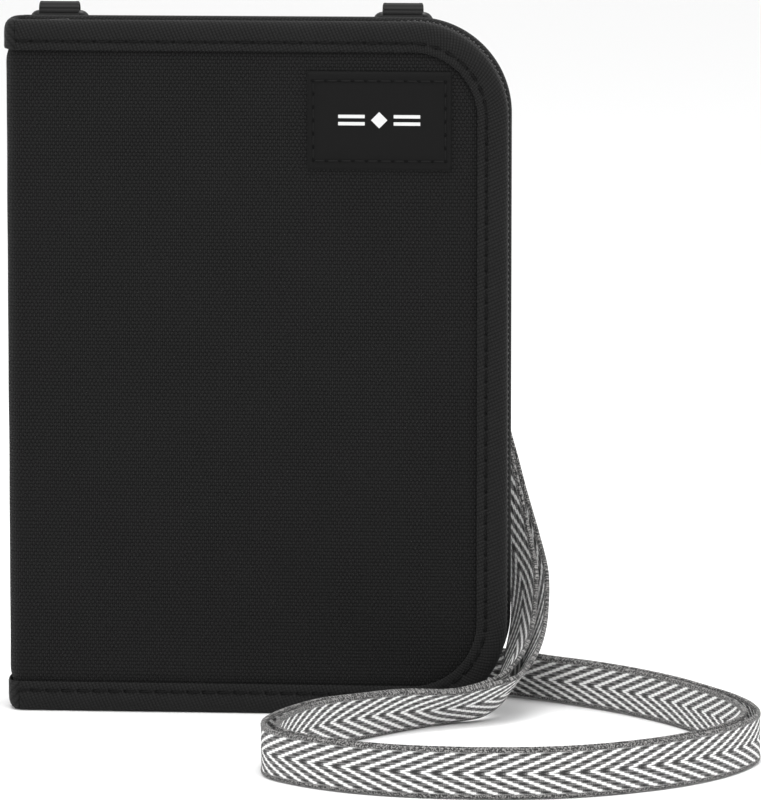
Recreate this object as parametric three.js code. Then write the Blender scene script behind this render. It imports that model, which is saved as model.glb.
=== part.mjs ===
// Neck pouch wallet: a zip-round document wallet that opens like a book, with two D-rings at its top edge and a
// woven neck strap that hooks onto them and lies in a doubled loop on the floor.
// Millimetres. X runs along the front from the spine to the open side, Y from front to back, Z up.
import * as THREE from "three";

// ---- Driving dimensions ------------------------------------------------------------------------------------
const height = 145.2; // bottom edge to top edge
const halfWidth = 52.5; // middle of the front to the spine's outside, and to the open side
const cornerRadius = 20; // outer radius of the two corners on the open side
const coverHalf = 8.3; // middle plane to the binding's outer face
const coverLeft = -49.8; // where covers and binding stop, just inside the spine
const touchGap = 0.3; // left between pieces that touch

const bindingWidth = 6.2; // how far the binding reaches onto the panel
const bindingInner = 4.3; // middle plane to the binding's inner flange
const bindingTape = 0.6; // thickness of the binding tape
const panelInset = 1.0; // panel edge to the wallet's edge, inside the binding

const coilInnerFace = 0.6; // half of the slot that the slider's post runs in
const coilOuterFace = 2.2;
const coilThickness = 2.0;
const coilLeft = -46; // where the zip's chain starts
const coilDropAtSpine = 3.6; // how deep the chain lies below the edge at the spine
const coilDropAtCorner = 0.4;

const tabWidth = 8.4; // webbing tab that holds a ring
const ringWire = 1.8;
const ringTilt = 30; // degrees, how far a hanging ring leans off the back
const tabCentres = { left: -42.8, right: 29.4 };
const barY = 10.65; // ring's bar, behind the back panel
const barZ = 145.05;
const tabSlack = 0.75; // the tab's fold stands this much higher than the bar needs

const strapWidth = 10;
const strapThickness = 1.0;
const hookY = 15.35; // middle plane of a hook's eye and of the strap below it

// ---- Finishes ----------------------------------------------------------------------------------------------
const finish = (color, roughness, metalness = 0) =>
  new THREE.MeshStandardMaterial({ color, roughness, metalness });
const finishes = {
  nylon: finish(0x262627, 0.85),
  binding: finish(0x2d2d2e, 0.8),
  lining: finish(0x3a3b3d, 0.8),
  board: finish(0x8a8478, 0.9),
  patch: finish(0x222223, 0.7),
  zipTape: finish(0x242425, 0.85),
  coil: finish(0x303031, 0.5),
  metal: finish(0x1c1c1d, 0.35, 0.9),
  webbing: finish(0x2a2a2b, 0.8),
  strap: finish(0x6f6f6d, 0.85),
  vinyl: finish(0xd9dde0, 0.2),
  plastic: finish(0x1a1a1b, 0.45),
  elastic: finish(0x2f2f31, 0.8),
};

// ---- Small geometry tools ----------------------------------------------------------------------------------
const wallet = new THREE.Group();

function add(name, geometry, material) {
  const mesh = new THREE.Mesh(geometry, material);
  mesh.name = name;
  wallet.add(mesh);
  return mesh;
}

function signedVolume(points, faces) {
  let total = 0;
  for (const [a, b, c] of faces) total += points[a].dot(points[b].clone().cross(points[c])) / 6;
  return total;
}

// A closed body through a row of rings that hold the same number of points. An open row gets two flat caps, and
// a looped row joins its last ring to its first.
function loft(rings, looped = false) {
  const count = rings[0].length;
  const points = rings.flat();
  const faces = [];
  const last = looped ? rings.length : rings.length - 1;
  for (let i = 0; i < last; i++) {
    const here = i * count;
    const next = ((i + 1) % rings.length) * count;
    for (let k = 0; k < count; k++) {
      const l = (k + 1) % count;
      faces.push([here + k, next + k, next + l], [here + k, next + l, here + l]);
    }
  }
  if (!looped) {
    for (const [ring, start, flip] of [[rings[0], 0, false], [rings.at(-1), points.length - count, true]]) {
      for (const [a, b, c] of capOf(ring)) {
        faces.push(flip ? [start + a, start + c, start + b] : [start + a, start + b, start + c]);
      }
    }
  }
  if (signedVolume(points, faces) < 0) faces.forEach((face) => face.reverse());
  const geometry = new THREE.BufferGeometry().setFromPoints(points);
  geometry.setIndex(faces.flat());
  geometry.computeVertexNormals();
  return geometry;
}

// Triangles of a flat ring, wound the way the ring runs.
function capOf(ring) {
  const normal = new THREE.Vector3();
  ring.forEach((p, k) => normal.add(p.clone().cross(ring[(k + 1) % ring.length])));
  normal.normalize();
  const across = ring[1].clone().sub(ring[0]).normalize();
  const up = normal.clone().cross(across);
  const flat = ring.map((p) => new THREE.Vector2(p.dot(across), p.dot(up)));
  return THREE.ShapeUtils.triangulateShape(flat, []);
}

const flatShape = (pairs) => new THREE.Shape(pairs.map(([a, b]) => new THREE.Vector2(a, b)));

function extruded(shape, depth, curveSegments = 8) {
  return new THREE.ExtrudeGeometry(shape, { depth, bevelEnabled: false, curveSegments });
}

// An outline in X and Z, made thick along Y.
function plateXZ(shape, yLow, yHigh, curveSegments) {
  return extruded(shape, yHigh - yLow, curveSegments).rotateX(Math.PI / 2).translate(0, yHigh, 0);
}

// An outline in Y and Z, made long along X.
function prismX(shape, xLow, xHigh, curveSegments) {
  const turn = new THREE.Matrix4().makeBasis(
    new THREE.Vector3(0, 1, 0),
    new THREE.Vector3(0, 0, 1),
    new THREE.Vector3(1, 0, 0),
  );
  return extruded(shape, xHigh - xLow, curveSegments).applyMatrix4(turn).translate(xLow, 0, 0);
}

// An outline in X and Y, made tall along Z.
function prismZ(shape, zLow, zHigh, curveSegments) {
  return extruded(shape, zHigh - zLow, curveSegments).translate(0, 0, zLow);
}

function rectangle(aLow, aHigh, bLow, bHigh, corner = 0) {
  if (!corner) return flatShape([[aLow, bLow], [aHigh, bLow], [aHigh, bHigh], [aLow, bHigh]]);
  const shape = new THREE.Shape();
  shape.absarc(aHigh - corner, bLow + corner, corner, -Math.PI / 2, 0);
  shape.absarc(aHigh - corner, bHigh - corner, corner, 0, Math.PI / 2);
  shape.absarc(aLow + corner, bHigh - corner, corner, Math.PI / 2, Math.PI);
  shape.absarc(aLow + corner, bLow + corner, corner, Math.PI, Math.PI * 1.5);
  return shape;
}

function holed(shape, ...holes) {
  shape.holes.push(...holes.map((hole) => new THREE.Path(hole.getPoints(5))));
  return shape;
}

// ---- The wallet's rim --------------------------------------------------------------------------------------
const cornerSteps = 7;

// Places along the rim from the spine over the top, down the open side and back along the bottom. Each has an
// outward direction. drop lowers the line where it starts at the spine, as the zip's chain does.
function rimPlaces(left, inset, drop = inset) {
  const radius = cornerRadius - inset;
  const middle = halfWidth - cornerRadius;
  const places = [];
  const slope = Math.atan2(drop - inset, middle - left);
  places.push({ x: left, z: height - drop, angle: Math.PI / 2 + slope });
  for (let i = 0; i <= cornerSteps; i++) {
    const angle = Math.PI / 2 - (i * Math.PI) / 2 / cornerSteps;
    places.push({
      x: middle + radius * Math.cos(angle),
      z: height - cornerRadius + radius * Math.sin(angle),
      angle,
    });
  }
  const lower = places.map((p) => ({ x: p.x, z: height - p.z, angle: -p.angle })).reverse();
  return [...places, ...lower];
}

// A profile of [outward, y] pairs carried along the rim.
function rimSweep(places, profile, side) {
  return loft(places.map((p) => profile.map(([out, y]) => new THREE.Vector3(
    p.x + Math.cos(p.angle) * out,
    side * y,
    p.z + Math.sin(p.angle) * out,
  ))));
}

const bindingProfile = [
  [-bindingWidth, coverHalf],
  [-1.1, coverHalf],
  [-0.3, coverHalf - 0.3],
  [0, coverHalf - 1.1],
  [0, bindingInner + 1.1],
  [-0.3, bindingInner + 0.3],
  [-1.1, bindingInner],
  [-bindingWidth, bindingInner],
  [-bindingWidth, bindingInner + bindingTape],
  [-1.1, bindingInner + bindingTape],
  [-0.7, bindingInner + 1.1],
  [-0.7, coverHalf - 1.1],
  [-1.1, coverHalf - bindingTape],
  [-bindingWidth, coverHalf - bindingTape],
];

const zipTapeProfile = [
  [-0.6, coilOuterFace + touchGap],
  [-0.6, 4.0],
  [-5.5, 4.0],
  [-5.5, 3.4],
  [-1.4, 3.4],
  [-1.4, coilOuterFace + touchGap],
];

const coilProfile = [
  [0, coilInnerFace],
  [0, coilOuterFace],
  [-coilThickness, coilOuterFace],
  [-coilThickness, coilInnerFace],
];

// ---- The two covers ----------------------------------------------------------------------------------------
function coverOutline(inset, left) {
  const middle = halfWidth - cornerRadius;
  const radius = cornerRadius - inset;
  const points = [];
  for (const [centre, from] of [[height - cornerRadius, Math.PI / 2], [cornerRadius, 0]]) {
    for (let i = 0; i <= cornerSteps; i++) {
      const angle = from - (i * Math.PI) / 2 / cornerSteps;
      points.push([middle + radius * Math.cos(angle), centre + radius * Math.sin(angle)]);
    }
  }
  return [[left, height - inset], ...points, [left, inset]];
}

function coverPlate(inset, left, side, yInner, yOuter) {
  const [low, high] = side > 0 ? [yInner, yOuter] : [-yOuter, -yInner];
  return plateXZ(flatShape(coverOutline(inset, left)), low, high);
}

// The outer fabric lies flat under the binding and stands up a little inside it.
function outerPanel(side) {
  const steps = [
    [panelInset, coverLeft, 6.75],
    [panelInset, coverLeft, 7.4],
    [bindingWidth + 0.3, coverLeft, 7.4],
    [bindingWidth + 2.0, coverLeft + 1.2, 7.9],
  ];
  return loft(steps.map(([inset, left, y]) =>
    coverOutline(inset, left).map(([x, z]) => new THREE.Vector3(x, side * y, z)),
  ));
}

for (const [cover, side] of [["back", 1], ["front", -1]]) {
  add(`${cover}_outer_panel`, outerPanel(side), finishes.nylon);
  add(`${cover}_stiffener_board`, coverPlate(panelInset + 0.6, -48, side, 5.85, 6.45), finishes.board);
  add(`${cover}_lining`, coverPlate(panelInset, -49, side, 5.2, 5.55), finishes.lining);
  add(`${cover}_edge_binding`, rimSweep(rimPlaces(coverLeft, 0), bindingProfile, side), finishes.binding);
  const chain = rimPlaces(coilLeft, coilDropAtCorner, coilDropAtSpine);
  add(`${cover}_zip_tape`, rimSweep(chain, zipTapeProfile, side), finishes.zipTape);
  add(`${cover}_zip_coil`, rimSweep(chain, coilProfile, side), finishes.coil);
}

// ---- Spine -------------------------------------------------------------------------------------------------
const spineBow = [[-51.4, 7.4], [-52.1, 4], [-52.5, 0], [-52.1, -4], [-51.4, -7.4]];

function spineShape(thickness) {
  const inside = spineBow.map(([x, y]) => [x + thickness, y]).reverse();
  return flatShape([...spineBow, ...inside]);
}

add("spine_panel", prismZ(spineShape(1.0), bindingWidth + touchGap, height - bindingWidth - touchGap), finishes.nylon);
add("spine_binding_bottom", prismZ(spineShape(1.3), 0, bindingWidth), finishes.binding);
add("spine_binding_top", prismZ(spineShape(1.3), height - bindingWidth, height), finishes.binding);

const penRadius = 3.1; // inside of the elastic loop
const penLoop = new THREE.Shape().absarc(-46.6, 0, penRadius + 0.5, 0, Math.PI * 2);
add(
  "spine_pen_loop",
  prismZ(holed(penLoop, new THREE.Path().absarc(-46.6, 0, penRadius, 0, Math.PI * 2)), 54, 80, 9),
  finishes.elastic,
);

// ---- Label patch on the front ------------------------------------------------------------------------------
add("front_label_patch", plateXZ(rectangle(10.9, 40.9, 114.5, 134.9, 0.8), -8.6, -8.2, 2), finishes.patch);

// ---- Inside the back cover: a passport sleeve and three card slots -----------------------------------------
const sheetLeft = -43;
const sheetInset = 7; // keeps the sheets inside the binding

// A sheet that fills the lower part of a cover up to a straight top edge.
function sheetOutline(left, inset, top) {
  const lowerEnd = coverOutline(inset, left).slice(cornerSteps + 2);
  return [[left, top], [halfWidth - inset, top], ...lowerEnd];
}

add("passport_sleeve", plateXZ(flatShape(sheetOutline(sheetLeft, sheetInset, 112)), 4.4, 4.9), finishes.lining);
const cardSlotTops = [76, 64, 52];
cardSlotTops.forEach((top, i) => {
  const face = 4.1 - i * 0.65;
  const outline = flatShape(sheetOutline(sheetLeft + 1, sheetInset + 3, top));
  add(`card_slot_${i + 1}`, plateXZ(outline, face - 0.35, face), finishes.lining);
});

// ---- Inside the front cover: a zipped pocket and a clear window --------------------------------------------
const pocketZip = 101; // height of the inner zip
const lowerSheet = sheetOutline(sheetLeft, sheetInset, pocketZip - 3.3);
const upperSheet = sheetOutline(sheetLeft, sheetInset, height - pocketZip - 3.3).map(([x, z]) => [x, height - z]);
add("pocket_panel_lower", plateXZ(flatShape(lowerSheet), -4.9, -4.5), finishes.lining);
add("pocket_panel_upper", plateXZ(flatShape(upperSheet), -4.9, -4.5), finishes.lining);
add("pocket_zip_chain", plateXZ(rectangle(-42, 44.5, pocketZip - 3, pocketZip + 3), -4.9, -4.0), finishes.coil);

const pocketSliderLeft = -40;
add(
  "pocket_zip_slider",
  plateXZ(rectangle(pocketSliderLeft, pocketSliderLeft + 8, pocketZip - 3, pocketZip + 3, 1.2), -3.7, -2.7, 3),
  finishes.metal,
);
const pocketPullShape = rectangle(pocketSliderLeft + 3.5, pocketSliderLeft + 16, pocketZip - 2.2, pocketZip + 2.2, 1.6);
holed(pocketPullShape, rectangle(pocketSliderLeft + 12, pocketSliderLeft + 14.6, pocketZip - 0.9, pocketZip + 0.9));
add("pocket_zip_pull", plateXZ(pocketPullShape, -2.4, -1.6, 3), finishes.metal);

const windowFrame = rectangle(-34, 38, 14, 78, 2);
add("window_frame", plateXZ(holed(windowFrame, rectangle(-29.5, 33.5, 18.5, 73.5)), -4.2, -3.7, 2), finishes.binding);
add("clear_window", plateXZ(rectangle(-29.2, 33.2, 18.8, 73.2), -4.1, -3.8), finishes.vinyl);

// ---- Main zip: slider and pull, parked at the spine end of the top edge ------------------------------------
const chainSlope = Math.atan2(coilDropAtSpine - coilDropAtCorner, halfWidth - cornerRadius - coilLeft);
const sliderLength = 9.5;

// Everything here is drawn with its own X along the chain and Z = 0 on the chain's outer face.
function onChain(geometry) {
  return geometry.rotateY(-chainSlope).translate(coilLeft, 0, height - coilDropAtSpine);
}

function sliderBody() {
  const half = 2.9;
  const plate = 0.8;
  const top = touchGap;
  const bottom = -coilThickness - touchGap;
  // Seen from the chain's end it is an H on its side: two plates joined by the post between the coils.
  const section = [
    [-half, top + plate], [-half, top], [-0.3, top], [-0.3, bottom], [-half, bottom], [-half, bottom - plate],
    [half, bottom - plate], [half, bottom], [0.3, bottom], [0.3, top], [half, top], [half, top + plate],
  ];
  return prismX(flatShape(section), 0, sliderLength);
}

add("zip_slider_body", onChain(sliderBody()), finishes.metal);

// The bridge stands on the top plate, and the pull's end bar lies under it.
const bridge = flatShape([[2.0, 1.4], [2.0, 2.4], [2.6, 3.0], [6.4, 3.0], [7.0, 2.4], [7.0, 1.4], [6.3, 1.4],
  [6.3, 2.2], [6.1, 2.4], [2.9, 2.4], [2.7, 2.2], [2.7, 1.4]]);
add("zip_slider_bridge", onChain(plateXZ(bridge, -0.6, 0.6)), finishes.metal);

const pullPivot = 4.55; // from the slider's spine end
const pullEnd = 21; // the pull's far end
const pullRadius = 2.4;
const pullShape = new THREE.Shape();
pullShape.moveTo(pullPivot - 0.45, 1.6);
pullShape.lineTo(pullPivot - 0.45, -1.6);
pullShape.lineTo(9, -1.9);
pullShape.lineTo(12, -pullRadius);
pullShape.absarc(pullEnd - pullRadius, 0, pullRadius, -Math.PI / 2, Math.PI / 2);
pullShape.lineTo(12, pullRadius);
pullShape.lineTo(9, 1.9);
const pullEye = rectangle(pullPivot + 0.45, 8.2, -0.95, 0.95);
const pullHole = new THREE.Path().absarc(pullEnd - pullRadius, 0, 1.1, 0, Math.PI * 2);
add("zip_pull_tab", onChain(prismZ(holed(pullShape, pullEye, pullHole), 1.5, 2.1, 6)), finishes.metal);

// ---- Ring tabs and D-rings at the top of the back ----------------------------------------------------------
function tabShape() {
  const radius = 2.05;
  const inner = 8.6;
  const thick = 1.6;
  const shape = new THREE.Shape();
  shape.moveTo(inner, 131);
  shape.lineTo(inner + thick, 131);
  shape.lineTo(inner + thick, 140.6);
  shape.absarc(barY, barZ + tabSlack, radius, -Math.PI / 4, Math.PI);
  const slot = new THREE.Path();
  slot.absarc(barY, barZ, ringWire / 2 + 0.35, Math.PI, Math.PI * 2);
  slot.absarc(barY, barZ + tabSlack, ringWire / 2 + 0.35, 0, Math.PI);
  return holed(shape, slot);
}

// A round-wire D: straight bar on top, short arms, half circle below. Drawn hanging straight down from the bar.
function ringGeometry(centre) {
  const halfBar = 5.4;
  const bend = 1.2;
  const arm = 1.6;
  const wire = ringWire / 2;
  const line = [];
  const put = (x, z, angle) => line.push({ x, z, angle });
  put(-halfBar + bend, 0, Math.PI / 2);
  put(halfBar - bend, 0, Math.PI / 2);
  put(halfBar - bend * 0.29, -bend * 0.29, Math.PI / 4);
  put(halfBar, -bend, 0);
  for (let i = 0; i <= 8; i++) {
    const angle = -(i * Math.PI) / 8;
    put(halfBar * Math.cos(angle), -arm + halfBar * Math.sin(angle), angle);
  }
  put(-halfBar, -bend, Math.PI);
  put(-halfBar + bend * 0.29, -bend * 0.29, Math.PI * 0.75);
  const sides = 8;
  const rings = line.map(({ x, z, angle }) => {
    const ring = [];
    for (let k = 0; k < sides; k++) {
      const turn = (k * Math.PI * 2) / sides;
      const out = wire * Math.cos(turn);
      ring.push(new THREE.Vector3(x + Math.cos(angle) * out, wire * Math.sin(turn), z + Math.sin(angle) * out));
    }
    return ring;
  });
  const geometry = loft(rings, true);
  return geometry.rotateX(THREE.MathUtils.degToRad(ringTilt)).translate(centre, barY, barZ);
}

// ---- Snap hooks --------------------------------------------------------------------------------------------
const hookThick = 1.2; // half of a hook's thickness along X
const clawCentre = [15.1, 138.2];
const clawInner = 2.55;
const clawOuter = 4.5;
const noseAngle = THREE.MathUtils.degToRad(25);

function clawShape() {
  const [y, z] = clawCentre;
  const shape = new THREE.Shape();
  shape.moveTo(y - clawOuter, 129.2);
  shape.absarc(y, z, clawOuter, Math.PI, noseAngle, true);
  shape.absarc(y, z, clawInner, noseAngle, Math.PI, false);
  shape.lineTo(y - clawInner, 131.6);
  shape.lineTo(13.6, 130.8);
  shape.lineTo(17.5, 130.8);
  shape.lineTo(17.5, 128.4);
  shape.lineTo(19.9, 128.4);
  shape.lineTo(19.0, 127.3);
  shape.lineTo(12.0, 127.3);
  return shape;
}

const gateShape = () => flatShape([[18.0, 129.3], [18.6, 128.9], [19.4, 128.9], [19.9, 129.5], [19.9, 138.2],
  [19.3, 139.1], [18.0, 139.1]]);

// Flat eye for the strap, with the stud that turns in the hook's foot.
function eyeShape(centre) {
  const shape = flatShape([
    [centre - 6.8, 118.0], [centre - 6.0, 117.2], [centre + 6.0, 117.2], [centre + 6.8, 118.0],
    [centre + 6.8, 123.4], [centre + 5.6, 124.6], [centre + 1.3, 124.8], [centre + 1.3, 127.0],
    [centre - 1.3, 127.0], [centre - 1.3, 124.8], [centre - 5.6, 124.6], [centre - 6.8, 123.4],
  ]);
  return holed(shape, rectangle(centre - 5.2, centre + 5.2, 119.0, 122.9));
}

// The strap's sewn end: round the eye's bar and back onto itself.
const sewnEndLow = 91;
function sewnEndShape() {
  const barCentre = 118.1;
  const outer = 2.5;
  const half = strapThickness - 0.05;
  const shape = new THREE.Shape();
  shape.moveTo(hookY - half, sewnEndLow);
  shape.lineTo(hookY + half, sewnEndLow);
  shape.lineTo(hookY + half, 113.4);
  shape.absarc(hookY, barCentre, outer, -Math.PI / 6, Math.PI * (7 / 6));
  shape.lineTo(hookY - half, 113.4);
  return holed(shape, new THREE.Path().absarc(hookY, barCentre, 1.6, 0, Math.PI * 2));
}

for (const [side, centre] of Object.entries(tabCentres)) {
  add(`ring_tab_${side}`, prismX(tabShape(), centre - tabWidth / 2, centre + tabWidth / 2, 8), finishes.webbing);
  add(`d_ring_${side}`, ringGeometry(centre), finishes.metal);
  add(`hook_claw_${side}`, prismX(clawShape(), centre - hookThick, centre + hookThick, 8), finishes.metal);
  add(`hook_gate_${side}`, prismX(gateShape(), centre - 0.9, centre + 0.9), finishes.metal);
  add(`hook_eye_${side}`, plateXZ(eyeShape(centre), hookY - 1.0, hookY + 1.0), finishes.metal);
  add(
    `strap_end_${side}`,
    prismX(sewnEndShape(), centre - strapWidth / 2, centre + strapWidth / 2, 6),
    finishes.strap,
  );
}

// ---- Neck strap --------------------------------------------------------------------------------------------
// The strap runs from hook to hook. It lies folded double, so two strands run side by side round one loop.
// Each row is a point on the outer strand's middle line, the direction of its upper edge, and how far the inner
// strand lies from it.
const sharedRoute = [
  [47.8, 11.6, 52.4, 0.94, -0.26, 0.22, 2.6],
  [50.2, 10.9, 43.3, 0.93, -0.35, 0.14, 2.7],
  [52.6, 10.3, 35, 0.83, -0.55, 0.12, 2.8],
  [55.0, 7.6, 27, 0.66, -0.75, 0.1, 2.8],
  [55.4, 3.8, 20, 0.47, -0.87, 0.12, 2.8],
  [54.3, -4.3, 13.1, 0.42, -0.86, 0.25, 2.6],
  [51.8, -11.2, 8.3, 0.29, -0.76, 0.55, 2.3],
  [47.1, -15.9, 5.2, 0.12, -0.63, 0.77, 2.5],
  [39.3, -19.9, 4.25, 0.08, -0.66, 0.75, 2.5],
  [31.1, -27.3, 4.75, 0.05, -0.5, 0.86, 2.3],
  [24, -35.5, 5.0, 0, -0.4, 0.92, 2.1],
  [17, -44, 5.2, 0, -0.2, 0.98, 2.2],
  [12.2, -53, 5.2, 0, -0.1, 1, 2.5],
  [8.9, -62.5, 5.2, 0, 0, 1, 2.8],
  [7.6, -71.5, 5.2, 0, 0, 1, 2.9],
  [9.6, -80.5, 5.2, 0, 0, 1, 2.6],
  [16.6, -88, 5.2, 0, 0, 1, 2.1],
  [25.5, -93.8, 5.2, 0, 0, 1, 1.8],
  [36.3, -97.6, 5.2, 0, 0, 1, 1.7],
  [48, -99, 5.2, 0, 0, 1, 1.6],
  [60, -98.6, 5.2, 0, 0, 1, 1.6],
  [72, -95.6, 5.2, 0, 0, 1, 1.7],
  [83.5, -89.2, 5.2, 0, 0, 1, 1.9],
  [93.5, -80.5, 5.2, 0, 0, 1, 2.2],
  [101.5, -69, 5.2, 0, 0, 1, 2.6],
  [105.8, -56, 5.2, 0, 0, 1, 2.8],
  [104.6, -44.5, 5.2, 0, 0, 1, 2.7],
  [100.6, -34, 5.2, 0, 0, 1, 2.4],
  [95.3, -24.6, 5.2, 0, -0.08, 1, 2.1],
  [88.2, -13.6, 5.2, 0, -0.13, 0.99, 2.0],
  [79.3, -3.2, 5.2, 0, -0.18, 0.98, 2.0],
  [70.4, 4.8, 5.2, 0, -0.22, 0.97, 2.0],
  [60.3, 12.2, 5.2, 0, -0.28, 0.95, 2.0],
  [51.5, 18.3, 5.3, 0, -0.22, 0.97, 2.1],
  [42.5, 23.2, 5.4, 0, -0.15, 0.98, 2.2],
  [32.5, 26.8, 5.7, 0, -0.1, 0.99, 2.3],
  [21.5, 29.2, 6.4, 0, 0, 1, 2.4],
  [11, 30.3, 7.1, 0, 0, 1, 2.5],
  [2, 30.6, 7.5, 0, 0, 1, 2.5],
  [-7, 30.6, 7.6, 0, 0, 1, 2.5],
  [-14, 30.8, 7.6, 0, 0, 1, 2.9],
];

// The closed end, where the outer strand turns back and becomes the inner one.
const outerTurn = [
  [-18.5, 31.2, 7.6, 0, 0, 1],
  [-21.3, 31.4, 7.6, 0, 0, 1],
  [-23.0, 30.5, 7.6, 0, 0, 1],
  [-23.3, 29.6, 7.6, 0, 0, 1],
];
const turnMiddle = 29.35;
const innerTurn = outerTurn.map(([x, y, ...rest]) => [x, 2 * turnMiddle - y, ...rest]);

// From the right-hand hook down to the loop.
const outerDrop = [
  [29.4, 15.35, 90.2, 1, 0, 0],
  [29.5, 15.35, 87.2, 1, 0, 0],
  [31, 15.2, 82, 0.97, 0, 0.22],
  [34, 14.7, 76, 0.92, -0.06, 0.38],
  [39.6, 13.6, 68, 0.9, -0.12, 0.4],
  [44.5, 12.7, 60.4, 0.93, -0.19, 0.3],
];

// From the left-hand hook across the back, behind the other strand, to the loop.
const innerDrop = [
  [-42.8, 15.35, 90.2, 1, 0, 0],
  [-42.7, 15.4, 87.2, 0.97, -0.2, 0],
  [-41.6, 15.7, 79.5, 0.75, -0.65, 0],
  [-36.5, 16.6, 71.5, 0.35, -0.93, 0],
  [-26, 18, 66, 0, -1, 0],
  [-13, 19.4, 66.5, 0, -1, 0],
  [0, 20.6, 69.5, 0, -1, 0],
  [12.5, 21.8, 73.5, 0, -1, 0],
  [23, 22.6, 76.8, 0, -1, 0],
  [33.2, 21.8, 76.9, 0.15, -0.98, 0.1],
  [40.6, 19.2, 71.8, 0.58, -0.76, 0.3],
  [44.9, 16.3, 64, 0.88, -0.36, 0.3],
];

const vectors = (rows, from) => rows.map((row) => new THREE.Vector3(...row.slice(from, from + 3)));

const standingRow = 7; // from this row on, the strap stands on its edge

// The inner strand is the outer one moved towards the inside of the loop, and level with it on the ground.
function innerLoop() {
  const points = vectors(sharedRoute, 0);
  const edges = vectors(sharedRoute, 3);
  return sharedRoute.map((row, i) => {
    const along = points[Math.min(i + 1, points.length - 1)].clone().sub(points[Math.max(i - 1, 0)]).normalize();
    const inward = edges[i].clone().cross(along).normalize();
    if (i >= standingRow) inward.setZ(0);
    return [...points[i].addScaledVector(inward, row[6]).toArray(), ...row.slice(3, 6)];
  });
}

// A flat ribbon along part of a route, from one row to another. Its section is six-sided, with narrow edges.
function ribbon(rows, from, to) {
  const middle = new THREE.CatmullRomCurve3(vectors(rows, 0), false, "catmullrom", 0.5);
  const edge = new THREE.CatmullRomCurve3(vectors(rows, 3), false, "catmullrom", 0.5);
  const section = [[1, 0], [0.9, 1], [-0.9, 1], [-1, 0], [-0.9, -1], [0.9, -1]];
  const steps = Math.round((to - from) * 2);
  const rings = [];
  for (let i = 0; i <= steps; i++) {
    const t = (from + ((to - from) * i) / steps) / (rows.length - 1);
    const along = middle.getTangent(t);
    const upper = edge.getPoint(t);
    upper.addScaledVector(along, -upper.dot(along)).normalize();
    const face = along.clone().cross(upper);
    const centre = middle.getPoint(t);
    rings.push(section.map(([a, b]) => centre.clone()
      .addScaledVector(upper, (a * strapWidth) / 2)
      .addScaledVector(face, (b * strapThickness) / 2)));
  }
  return loft(rings);
}

const loopJoin = 2; // row of the loop where the hanging pieces end and the strands begin
const joinGap = 0.025; // in rows, left on each side of that place
for (const [drop, loop, turn, dropName, strandName] of [
  [outerDrop, sharedRoute, outerTurn, "strap_drop_right", "strap_outer_strand"],
  [innerDrop, innerLoop(), innerTurn, "strap_drop_left", "strap_inner_strand"],
]) {
  const route = [...drop, ...loop, ...turn];
  const join = drop.length + loopJoin;
  add(dropName, ribbon(route, 0, join - joinGap), finishes.strap);
  add(strandName, ribbon(route, join + joinGap, route.length - 1), finishes.strap);
}

// ---- Keeper: a flat loop that holds the two strands together and slides along them -------------------------
const keeperOutside = rectangle(25.9, 32.8, 0.5, 14.6, 1.6);
const keeperInside = rectangle(27.1, 31.6, 2.2, 12.9);
add("strap_keeper", prismX(holed(keeperOutside, keeperInside), -8.5, 0, 4), finishes.plastic);

// The origin lies under the middle of the wallet's depth, with its rings and without the strap.
wallet.position.y = -3.21;

const group = new THREE.Group();
group.add(wallet);
export default group;
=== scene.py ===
"""Neck pouch wallet: looks. Lengths are written in millimetres from the wallet's middle plane and turned into
metres by at()."""

import math

import bmesh
import bpy
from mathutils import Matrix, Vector


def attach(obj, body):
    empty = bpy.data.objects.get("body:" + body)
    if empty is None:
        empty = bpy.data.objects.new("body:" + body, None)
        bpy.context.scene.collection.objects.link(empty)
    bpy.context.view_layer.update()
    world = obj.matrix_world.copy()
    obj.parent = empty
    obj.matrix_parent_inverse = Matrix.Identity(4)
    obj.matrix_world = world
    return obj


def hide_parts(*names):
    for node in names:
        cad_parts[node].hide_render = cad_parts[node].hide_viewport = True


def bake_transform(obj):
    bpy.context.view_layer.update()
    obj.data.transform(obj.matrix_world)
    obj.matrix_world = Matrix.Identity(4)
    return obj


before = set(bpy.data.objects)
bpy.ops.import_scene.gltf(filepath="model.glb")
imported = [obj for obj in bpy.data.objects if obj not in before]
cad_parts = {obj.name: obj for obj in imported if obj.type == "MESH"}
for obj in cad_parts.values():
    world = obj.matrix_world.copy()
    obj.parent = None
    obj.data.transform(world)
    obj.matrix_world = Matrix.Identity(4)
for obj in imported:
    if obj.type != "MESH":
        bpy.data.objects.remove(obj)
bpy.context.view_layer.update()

MM = 0.001
DEPTH_SHIFT = -3.21  # y of the wallet's middle plane in the frame
HEIGHT = 145.2
HALF_WIDTH = 52.5
CORNER = 20.0  # outer radius of the two corners on the open side
MIDDLE = HALF_WIDTH - CORNER  # x where those corners start
COVER_LEFT = -49.8  # where the covers' binding stops, just inside the spine
BINDING = 6.2  # how far the binding reaches onto the fabric
FABRIC_FACE = 7.9  # from the middle plane to the fabric's face
FABRIC_TURN = -48.4  # x where the fabric starts to turn round the spine
STITCH_PITCH = 3.3  # of the seam through the binding
SEAM_INSET = 4.4  # from the wallet's edge to that seam
SEAM_V = 2.16  # where the seam lies across the binding's UV map
ZIP_LEFT, ZIP_INSET, ZIP_DROP = -46, 0.4, 3.6  # where the coil starts, and how deep it lies
SIDES = {-1: "front", 1: "back"}

STRAP_WIDTH = 10.0
STRAP_THICK = 1.0
HOOK_Y = 15.35
TABS = {"left": -42.8, "right": 29.4}
BAR_Y, BAR_Z, TAB_SLACK = 10.65, 145.05, 0.75
RING_TILT = math.radians(30)


def at(x, y, z):
    return Vector((x, y + DEPTH_SHIFT, z)) * MM


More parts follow.
